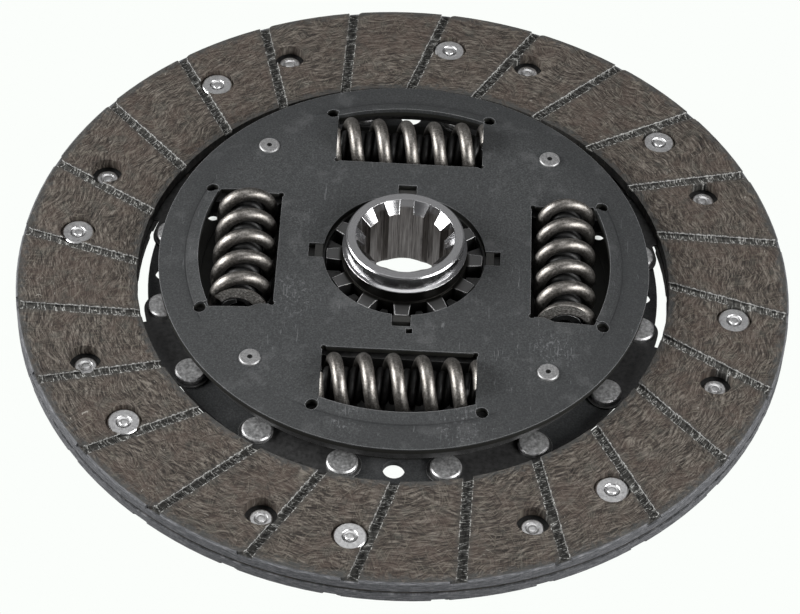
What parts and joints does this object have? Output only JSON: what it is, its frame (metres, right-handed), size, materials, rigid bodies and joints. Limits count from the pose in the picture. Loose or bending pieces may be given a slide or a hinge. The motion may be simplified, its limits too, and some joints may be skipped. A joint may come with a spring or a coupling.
{
  "type": "clutch disc",
  "caption": "Clutch disc with grooved friction linings, cushion segments, a sprung splined hub and stop pins.",
  "frame": {"origin": "on the disc's axis, midway between the two friction faces", "axes": "+Z along the axis, from the flywheel side to the gearbox side; +X and +Y through two of the spring windows"},
  "size_m": [0.228, 0.228, 0.0254],
  "materials": {
    "friction_lining": "matte",
    "rivet_metal": "satin",
    "zinc_rivet": "satin",
    "phosphated_steel": "matte",
    "bare_dark_steel": "satin",
    "pin_steel": "satin",
    "machined_steel": "polished",
    "black_plastic": "satin",
    "spring_steel": "satin",
    "black_spring_steel": "satin",
    "segment_steel": "satin"
  },
  "bodies": {
    "disc": {"facing_gearbox_side": "friction_lining", "facing_flywheel_side": "friction_lining", "facing_rivets_gearbox_side": "rivet_metal", "facing_rivets_flywheel_side": "rivet_metal", "segment_rivets": "zinc_rivet", "driven_plate": "phosphated_steel", "retainer_plate": "phosphated_steel", "stop_pins": "pin_steel", "friction_ring": "black_plastic", "disc_spring": "spring_steel", "centring_bush": "black_plastic", "friction_washer": "bare_dark_steel", "cushion_segment_1": "segment_steel", "cushion_segment_2": "segment_steel", "cushion_segment_3": "segment_steel", "cushion_segment_4": "segment_steel", "cushion_segment_5": "segment_steel", "cushion_segment_6": "segment_steel", "cushion_segment_7": "segment_steel", "cushion_segment_8": "segment_steel"},
    "spring_set": {"damper_spring_1": "spring_steel", "damper_spring_2": "spring_steel", "damper_spring_3": "spring_steel", "damper_spring_4": "spring_steel", "inner_spring_1": "black_spring_steel", "inner_spring_2": "black_spring_steel", "inner_spring_3": "black_spring_steel", "inner_spring_4": "black_spring_steel"},
    "flange": {"hub_flange": "bare_dark_steel"},
    "hub": {"hub": "machined_steel"}
  },
  "joints": [
    {"name": "damper_turn", "type": "hinge", "parent": "disc", "child": "flange", "pos_m": [0, 0, 0], "axis": [0, 0, 1], "range_deg": [-8, 8], "stiffness_Nm_per_rad": 1500, "deforming": ["damper_spring_1", "damper_spring_2", "damper_spring_3", "damper_spring_4", "inner_spring_1", "inner_spring_2", "inner_spring_3", "inner_spring_4"]},
    {"name": "spring_follow", "type": "hinge", "parent": "disc", "child": "spring_set", "pos_m": [0, 0, 0], "axis": [0, 0, 1], "range_deg": [-4, 4]},
    {"name": "idle_turn", "type": "hinge", "parent": "flange", "child": "hub", "pos_m": [0, 0, 0], "axis": [0, 0, 1], "range_deg": [-5, 5], "stiffness_Nm_per_rad": 6}
  ],
  "couplings": [
    {"joint": "spring_follow", "follows": "damper_turn", "ratio": 0.5}
  ]
}
